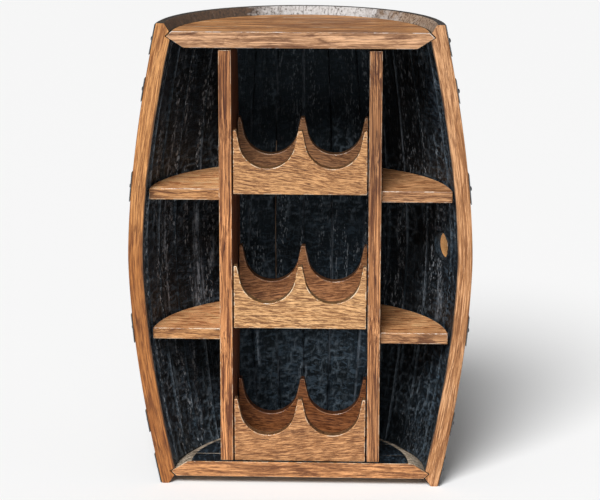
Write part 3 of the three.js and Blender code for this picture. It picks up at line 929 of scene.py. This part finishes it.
def bung_cutter():
    """The bung hole's solid: straight through the wood, and flared where the char has burnt back its rim."""
    middle = sum(stave_angles(BUNG_STAVE)) / 2
    outward = Vector((math.sin(middle), math.cos(middle), 0))
    side, up = Vector((outward.y, -outward.x, 0)), Vector((0, 0, 1))
    axis = Vector((0, SAWN_Y, HALF_HEIGHT))
    rim = INNER_BILGE_RADIUS + 1.0 * MM
    reach, flare = 60 * MM, 28 * MM
    profile = [(rim - reach, flare), (rim, flare), (rim + 2 * MM, 25.6 * MM), (rim + 6 * MM, BUNG_RADIUS),
               (rim + 11 * MM, BUNG_RADIUS), (rim + reach, BUNG_RADIUS)]
    charred_rings = 4
    verts = []
    for distance, radius in profile:
        for turn in 2 * math.pi * np.arange(BUNG_SIDES) / BUNG_SIDES:
            verts.append(axis + outward * distance + (side * math.cos(turn) + up * math.sin(turn)) * radius)
    char, bare = STAVE_SLOTS.index("char"), STAVE_SLOTS.index("bung")
    bare_rings = len(profile) - 1 - charred_rings
    slots = [char] * charred_rings * BUNG_SIDES + [bare] * bare_rings * BUNG_SIDES + [char, bare]
    faces = quads(len(profile), BUNG_SIDES) + ends(len(profile), BUNG_SIDES)
    cutter = new_object("bung_cutter", verts, faces, STAVE_SLOTS, slots)
    set_grain(cutter, coordinates(cutter)[:, [2, 0, 1]])
    return cutter


def make_staves():
    nodes = sorted(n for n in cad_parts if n.startswith("stave_"))
    for index, node in enumerate(nodes, 1):
        stave = make_stave(node, index, len(nodes))
        if node == BUNG_STAVE:
            cut_away(stave, bung_cutter())


# ---------------------------------------------------------------- hoops
HOOP_THICKNESS = 1.8 * MM
HOOP_CLEARANCE = 0.35 * MM
HOOP_STEPS = 140
LAP_LENGTH = 62 * MM
LAP_INSET = 0.4 * MM
LAPS = {"head": 38, "quarter": -22, "bilge": 17}  # degrees from the middle of the back, by hoop
LOWER_LAP_TURN = 0.05  # the lower hoops' laps lie this much further round, in radians
RIVETS = (-0.62, 0.1)  # shares of half the lap's length from its middle
RIVET_STAGGER = 0.12  # a rivet at share 1 would be raised by this share of the band's height
RIVET_RADIUS, RIVET_HEIGHT = 5 * MM, 2 * MM
SCREW_HEAD_RADIUS, SCREW_HEAD_HEIGHT = 4.6 * MM, 2.9 * MM


def hoop_radius(z, low, high):
    """The band's inside: straight up and down, and just clear of the staves it presses on."""
    share = (z - low) / (high - low)
    straight = outer_radius(low) * (1 - share) + outer_radius(high) * share
    sag = outer_radius((low + high) / 2) - (outer_radius(low) + outer_radius(high)) / 2
    return straight + sag + HOOP_CLEARANCE


def hoop_profile(low, high):
    """The band's section, as heights and shares of its thickness: inside up, top, outside down, bottom."""
    lift = 0.45 * HOOP_THICKNESS
    inside = np.linspace(low + lift, high - lift, 5)
    section = [(z, 0.0) for z in inside]
    section += [(high - 0.3 * lift, 0.25), (high, 0.5), (high - 0.3 * lift, 0.8)]
    section += [(z, 1.0) for z in reversed(inside)]
    section += [(low + 0.3 * lift, 0.8), (low, 0.5), (low + 0.3 * lift, 0.25)]
    return np.array(section).T


def band(name, low, high, angles, lifts):
    """A band swept over the angles, raised by lifts (metres) at each."""
    z, share = hoop_profile(low, high)
    radius = hoop_radius(z, low, high)
    rows = [around(radius + lift + HOOP_THICKNESS * share, angle, z) for angle, lift in zip(angles, lifts)]
    faces = quads(len(rows), len(z)) + ends(len(rows), len(z))
    return new_object(name, np.concatenate(rows), faces, ["hoop"])


def standing_on(centre, normal):
    """Places (u, v, w) on a surface at centre, with w along its normal."""
    turn = normal.to_track_quat("Z", "Y").to_matrix()
    return lambda u, v, w: centre + turn @ Vector((u, v, w))


def dome(name, centre, normal, radius, height, material, sides=24, rings=6):
    """A low domed head with a rounded rim, standing on the surface at centre."""
    place = standing_on(centre, normal)
    profile = [(radius * 0.94, -0.4 * MM), (radius, 0.15 * height)]
    for turn in np.linspace(0, math.pi / 2, rings + 1)[1:-1]:
        profile.append((radius * math.cos(turn), height * (0.15 + 0.85 * math.sin(turn))))
    turns = 2 * math.pi * np.arange(sides) / sides
    verts = [place(r * math.cos(turn), r * math.sin(turn), h) for r, h in profile for turn in turns]
    top = len(verts) - sides
    verts.append(place(0, 0, height))
    faces = quads(len(profile), sides)
    faces += [(top + i, top + (i + 1) % sides, top + sides) for i in range(sides)]
    faces.append(tuple(reversed(range(sides))))
    return new_object(name, verts, faces, [material])


def surface_point(z, angle, low, high, lift):
    """A point on a hoop's outer face and the outward normal there."""
    slope = (hoop_radius(high, low, high) - hoop_radius(low, low, high)) / (high - low)
    point = Vector(around(hoop_radius(z, low, high) + lift, angle, z))
    return point, Vector((math.sin(angle), math.cos(angle), -slope)).normalized()


def make_hoop(node, seed):
    low, high = [corner.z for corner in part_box(node)]
    angles = np.linspace(-math.pi / 2, math.pi / 2, HOOP_STEPS + 1)
    hoop = band(node.replace("hoop", "barrel_hoop"), low, high, angles, np.zeros(len(angles)))

    middle = math.radians(LAPS[node.split("_")[0]]) + (LOWER_LAP_TURN if "lower" in node else 0)
    half = LAP_LENGTH / 2 / outer_radius((low + high) / 2)
    lap_angles = np.linspace(middle - half, middle + half, 13)
    drop = smooth(middle + 0.45 * half, middle + half, lap_angles)
    pieces = [band("lap", low + LAP_INSET, high - LAP_INSET, lap_angles, HOOP_THICKNESS * (1 - 0.96 * drop))]
    for side in RIVETS:
        z = (low + high) / 2 + side * RIVET_STAGGER * (high - low)
        point, normal = surface_point(z, middle + side * half, low, high, 2 * HOOP_THICKNESS)
        pieces.append(dome("rivet", point, normal, RIVET_RADIUS, RIVET_HEIGHT, "hoop"))
    join(hoop, *pieces)

    co = coordinates(hoop)
    angle = np.arctan2(co[:, 0], co[:, 1] - SAWN_Y)
    set_grain(hoop, np.stack([angle * BILGE_RADIUS + seed * 3.3, co[:, 2], co[:, 1] * 0.1], axis=-1))
    mark_sharp(hoop, 35)
    part(hoop, node, "hoop_steel")


def cross_recess(centre, normal):
    """A plus-shaped cutter for a screw's drive."""
    arm, half, floor, top = 2.6 * MM, 0.45 * MM, 1.3 * MM, 8 * MM
    outline = [(half, arm), (half, half), (arm, half), (arm, -half), (half, -half), (half, -arm),
               (-half, -arm), (-half, -half), (-arm, -half), (-arm, half), (-half, half), (-half, arm)]
    return prism("recess", outline, floor, top, standing_on(centre, normal), "screw")


def make_hoop_screw(hoop, end, side):
    low, high = [corner.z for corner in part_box(hoop)]
    z = (low + high) / 2
    angle = side * (math.pi / 2 - HOOP_SCREW_INSET / (hoop_radius(z, low, high) + HOOP_THICKNESS))
    point, normal = surface_point(z, angle, low, high, HOOP_THICKNESS)
    node = f"{hoop}_screw_{end}"
    name = node.replace("hoop_", "hoop_end_")
    screw = dome(name, point, normal, SCREW_HEAD_RADIUS, SCREW_HEAD_HEIGHT, "screw", sides=32, rings=8)
    cut_away(screw, cross_recess(point, normal))
    mark_sharp(screw, 35)
    part(screw, node, "screw_steel")


def make_hoops():
    for seed, node in enumerate(HOOPS):
        make_hoop(node, seed)
        make_hoop_screw(node, "left", -1)
        make_hoop_screw(node, "right", 1)


# ---------------------------------------------------------------- heads
HEAD_SLOTS = ["head", "char", "bevel", "raw"]
HEAD_TINTS = {"top": (1.28, 1.26, 1.05), "bottom": (1.14, 1.10, 1.0)}
TOP_FRONT_TINT = (1.09, 1.27, 1.58)


def head_board(node, seed):
    """One board of a head: straight edges, and a bevelled rim where it meets the croze."""
    low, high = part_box(node)
    end = node.split("_")[0]
    top = end == "top"
    near, far = low.y - SAWN_Y, high.y - SAWN_Y
    outer_z, inner_z = (high.z, low.z) if top else (low.z, high.z)
    tip_z = (HEIGHT - CROZE_DEPTH) if top else CROZE_DEPTH
    drop = HEAD_SHOULDER_DROP if top else -HEAD_SHOULDER_DROP
    levels = [(inner_z, HEAD_INNER_RADIUS - HEAD_SHOULDER), (inner_z + drop, HEAD_INNER_RADIUS),
              (tip_z, HEAD_TIP_RADIUS), (outer_z, HEAD_OUTER_RADIUS)]
    steps = 24
    verts = []
    for z, radius in levels:
        rim = radius * 0.9995  # short of the radius, where the board would have no width
        depths = [min(far - (far - near) * i / steps, rim) for i in range(steps + 1)]
        right = [(math.sqrt(radius**2 - y**2), y) for y in depths]
        outline = [(-x, y) for x, y in reversed(right)] + right
        verts += [(x, SAWN_Y + y, z) for x, y in outline]
    count = 2 * (steps + 1)
    faces = quads(len(levels), count) + ends(len(levels), count)
    board = new_object(node.replace("head_board", "barrel_head_board"), verts, faces, HEAD_SLOTS)
    weld(board)
    fix_normals(board)
    ease_edges(board, (1.5 if near < 1 * MM else 0.7) * MM)
    colour_head(board, top, inner_z, outer_z, [y for y in (low.y, high.y) if y > SAWN_Y + 1 * MM])
    on_front = top & (coordinates(board)[:, 1:2] < SAWN_Y + 1.6 * MM)
    tint = np.where(on_front, TOP_FRONT_TINT, HEAD_TINTS[end])
    plank_grain(board, "xyz", 40 + seed, tint, 0.06 * (seed % 3 - 1))
    set_marks(board, 0, HEAD_ASH)
    part(board, node, "head_oak")


def colour_head(board, top, inner_z, outer_z, joints):
    """Char on the inner face, scorched wood on the rim's bevel and in the joints, varnish on the rest."""
    inward = -1 if top else 1
    for face in board.data.polygons:
        on_inner = abs(face.center.z - inner_z) < 0.2 * MM and face.normal.z * inward > 0.9
        on_outer = abs(face.center.z - outer_z) < 0.2 * MM
        on_rim = not on_inner and not on_outer and face.normal.y > -0.5 and abs(face.normal.z) > 0.3
        from_axis = math.hypot(face.center.x, face.center.y - SAWN_Y)
        in_joint = any(abs(face.center.y - y) < 0.9 * MM for y in joints)
        if on_inner:
            slot = "char"
        elif on_rim and from_axis > HEAD_INNER_RADIUS - HEAD_SHOULDER or in_joint:
            slot = "bevel"
        elif on_outer and not top:
            slot = "raw"
        else:
            continue
        face.material_index = HEAD_SLOTS.index(slot)


def make_heads():
    for seed, node in enumerate(sorted(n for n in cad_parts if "head_board" in n)):
        head_board(node, seed)


# ---------------------------------------------------------------- dividers, shelves and bottle cradles
DIVIDER_CLEARANCE = 1 * MM
DIVIDER_TINTS = {"divider_left": (1.20, 1.08, 0.93), "divider_right": (1.02, 0.97, 0.90)}
DIVIDER_TOP_SHADE = 0.27  # painted shade: how much darker the dividers are at the top, under the top head, than at the foot
BAY_SIDE_PAINTED_SHADE = (0.50, 0.38, 0.34)  # painted shade: the dividers' faces towards the bottles are darker, as in the bays' shadow
LEFT_SHELF_TINT, LEFT_SHELF_TOP_TINT = (1.08, 1.03, 0.90), (1.10, 1.07, 1.14)
RIGHT_SHELF_TINT, RIGHT_SHELF_TOP_TINT = (1.0, 0.99, 1.0), (1.0, 1.0, 1.05)
SHELF_TOP_PAINTED_LIGHT = {  # painted light: the tops are lifted paler than the edges, standing in for the light that falls on them
    "shelf_upper_left": 2.6,
    "shelf_upper_right": 1.75,
    "shelf_lower_left": 2.05,
    "shelf_lower_right": 2.0,
}
CRADLE_TINTS_AND_SHADE = {
    "cradle_upper_front": (1.09, 1.09, 1.02),
    "cradle_middle_front": (1.29, 1.40, 1.40),
    "cradle_lower_front": (1.08, 1.03, 0.96),
    # the rear boards are darker: painted shade, deep behind the front boards
    "cradle_upper_rear": (0.60, 0.54, 0.50),
    "cradle_middle_rear": (0.93, 0.79, 0.70),
    "cradle_lower_rear": (0.62, 0.43, 0.31),
}
CRADLE_TILTS = (0.07, -0.10, 0.12)  # of the grain, in turn
NOTCH_PAINTED_SHADE = 0.42  # painted shade: the sawn insides of the notches are darker


def make_divider(node, seed):
    low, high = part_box(node)
    inner_face, outer_face = sorted((abs(low.x), abs(high.x)))
    heights = np.linspace(low.z, high.z, 41)
    back = np.sqrt(inner_radius(heights) ** 2 - outer_face**2) - DIVIDER_CLEARANCE
    outline = [(low.y, z) for z in reversed(heights)]
    outline += [(SAWN_Y + reach, z) for reach, z in zip(back, heights)]
    name = node.replace("divider", "upright_divider")
    board = prism(name, outline, low.x, high.x, lambda u, v, w: (w, u, v))
    ease_edges(board, 1.2 * MM)
    co = coordinates(board)
    # painted shade: darker towards the top, under the top head
    tint = np.array(DIVIDER_TINTS[node]) * (1 - DIVIDER_TOP_SHADE * smooth(0.48, 0.70, co[:, 2:]))
    bay_side = np.abs(co[:, :1]) < inner_face + 0.2 * MM
    # painted shade on the faces towards the bottles
    plank_grain(board, "zyx", seed, np.where(bay_side, tint * BAY_SIDE_PAINTED_SHADE, tint), 0.012)
    part(board, node, "insert_oak")


def make_shelf(node, seed):
    low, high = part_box(node)
    side = 1 if low.x > 0 else -1
    start, reach = sorted((abs(low.x), abs(high.x)))
    recess = low.y - SAWN_Y
    wall = math.hypot(reach, recess)
    back = arc((0, 0), wall, math.asin(recess / wall), math.acos(start / wall), 48)
    outline = [(side * start, low.y)] + [(side * x, SAWN_Y + y) for x, y in back]
    name = node.replace("shelf", "side_shelf")
    board = prism(name, outline, low.z, high.z, lambda u, v, w: (u, v, w), "shelf")
    ease_edges(board, 2.0 * MM)
    front_tint = RIGHT_SHELF_TINT if side > 0 else LEFT_SHELF_TINT
    # painted light: the shelf tops get a lifted, paler tint
    top_tint = np.array(RIGHT_SHELF_TOP_TINT if side > 0 else LEFT_SHELF_TOP_TINT) * SHELF_TOP_PAINTED_LIGHT[node]
    on_top = coordinates(board)[:, 2:] > high.z - 0.2 * MM
    plank_grain(board, "xyz", seed, np.where(on_top, top_tint, front_tint), 0.03 * side)
    part(board, node, "insert_oak")


def notch(middle, lip):
    """A notch's outline from its right lip to its left lip."""
    centre = lip - NOTCH_DEPTH + NOTCH_RADIUS
    tangent = NOTCH_RADIUS * math.cos(NOTCH_FLARE)
    drop = NOTCH_RADIUS * math.sin(NOTCH_FLARE)
    lip_x = tangent + (lip - centre + drop) * math.tan(NOTCH_FLARE)
    curve = arc((middle, centre), NOTCH_RADIUS, -NOTCH_FLARE, -math.pi + NOTCH_FLARE, 56)
    return [(middle + lip_x, lip), *curve, (middle - lip_x, lip)]


def make_cradle(node, seed):
    low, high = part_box(node)
    outline = [(low.x, low.z), (high.x, low.z), (high.x, high.z)]
    outline += notch(NOTCH_SPACING / 2, high.z) + notch(-NOTCH_SPACING / 2, high.z)
    outline += [(low.x, high.z)]
    name = node.replace("cradle", "bottle_cradle")
    board = prism(name, outline, low.y, high.y, lambda u, v, w: (u, w, v), "flecked")
    ease_edges(board, 1.5 * MM)
    x, y, z = np.split(coordinates(board), 3, axis=1)
    between_faces = (y > low.y + 1.2 * MM) & (y < high.y - 1.2 * MM)
    in_notch = between_faces & (np.abs(x) < high.x - 1 * MM) & (z > low.z + 2 * MM)
    # painted shade inside the notches
    tint = np.array(CRADLE_TINTS_AND_SHADE[node]) * np.where(in_notch, NOTCH_PAINTED_SHADE, 1)
    plank_grain(board, "xzy", seed, tint, CRADLE_TILTS[seed % 3])
    part(board, node, "insert_oak")


def make_insert():
    makers = {"divider": make_divider, "cradle": make_cradle, "shelf": make_shelf}
    boards = sorted(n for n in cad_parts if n.startswith(("cradle", "shelf")))
    for seed, node in enumerate(["divider_left", "divider_right", *boards], 200):
        makers[node.split("_")[0]](node, seed)


def finish_hidden_screws():
    """The divider screws keep their CAD shape, and get the screws' black steel."""
    for node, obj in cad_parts.items():
        if node.startswith("divider_screw"):
            obj.data.materials.clear()
            obj.data.materials.append(MATERIALS["screw"])


# ---------------------------------------------------------------- camera, floor and light
IMAGE_WIDTH = 600
FOCAL_PIXELS = 2307
SENSOR_WIDTH = 36
CAMERA_DISTANCE = 4.2  # in front of the sawn face
CAMERA_SIDE = 0.154
CAMERA_RISE = 1.043  # above mid height
PITCH, YAW, ROLL = 0.2389, -0.0366, 0.0012
SURROUND_LIGHT = 0.2
FLOOR_REACH = 14.0
FLOOR_COLOUR = (0.93, 0.93, 0.93, 1)


def make_camera():
    data = bpy.data.cameras.new("camera")
    data.sensor_width = SENSOR_WIDTH
    data.lens = FOCAL_PIXELS / IMAGE_WIDTH * SENSOR_WIDTH
    data.clip_end = 100
    camera = add_to_scene("camera", data)
    level = Vector((math.sin(YAW), math.cos(YAW), 0))
    right = Vector((math.cos(YAW), -math.sin(YAW), 0))
    forward = math.cos(PITCH) * level - Vector((0, 0, math.sin(PITCH)))
    up = math.sin(PITCH) * level + Vector((0, 0, math.cos(PITCH)))
    turned_right = math.cos(ROLL) * right + math.sin(ROLL) * up
    turned_up = math.cos(ROLL) * up - math.sin(ROLL) * right
    place = Vector((CAMERA_SIDE, SAWN_Y - CAMERA_DISTANCE, HALF_HEIGHT + CAMERA_RISE))
    axes = Matrix((turned_right, turned_up, -forward)).transposed()
    camera.matrix_world = Matrix.Translation(place) @ axes.to_4x4()
    bpy.context.scene.camera = camera


def make_floor():
    mesh = bpy.data.meshes.new("floor")
    corners = [(x * FLOOR_REACH, y * FLOOR_REACH, 0) for x, y in ((-1, -1), (1, -1), (1, 1), (-1, 1))]
    mesh.from_pydata(corners, [], [(0, 1, 2, 3)])
    shader = Shader("floor_pale")
    mesh.materials.append(shader.finish(FLOOR_COLOUR, 0.9, Specular_IOR_Level=0.1))
    add_to_scene("floor", mesh)


def area_light(name, place, target, size, power):
    data = bpy.data.lights.new(name, "AREA")
    data.shape = "RECTANGLE"
    data.size, data.size_y = size
    data.energy = power
    light = add_to_scene(name, data)
    light.location = place
    light.rotation_euler = (Vector(target) - Vector(place)).to_track_quat("-Z", "Y").to_euler()


def sun_light(name, azimuth, elevation, spread, strength):
    """A distant softbox, in degrees: azimuth from straight in front, positive to the right."""
    data = bpy.data.lights.new(name, "SUN")
    data.energy = strength
    data.angle = math.radians(spread)
    turn, rise = math.radians(azimuth), math.radians(elevation)
    towards = Vector((math.sin(turn) * math.cos(rise), -math.cos(turn) * math.cos(rise), math.sin(rise)))
    add_to_scene(name, data).rotation_euler = towards.to_track_quat("Z", "Y").to_euler()


def make_light():
    """Soft studio light: a pale surround that looks white, and two softboxes in front."""
    world = bpy.data.worlds.new("studio")
    bpy.context.scene.world = world
    world.use_nodes = True
    tree = world.node_tree
    background = tree.nodes["Background"]
    path = tree.nodes.new("ShaderNodeLightPath")
    level = tree.nodes.new("ShaderNodeMapRange")
    level.inputs["To Min"].default_value = SURROUND_LIGHT
    level.inputs["To Max"].default_value = 1.0
    tree.links.new(path.outputs["Is Camera Ray"], level.inputs["Value"])
    tree.links.new(level.outputs[0], background.inputs["Strength"])
    background.inputs["Color"].default_value = (1.0, 1.0, 1.0, 1)
    sun_light("key", azimuth=-17, elevation=45, spread=28, strength=3.6)
    area_light("fill", place=(0.9, -4.6, 1.3), target=(0, 0, 0.45), size=(1.6, 1.6), power=12)
    view = bpy.context.scene.view_settings
    view.view_transform = "Standard"
    view.exposure = 0.0


make_camera()
make_staves()
make_hoops()
make_heads()
make_insert()
finish_hidden_screws()
make_floor()
make_light()
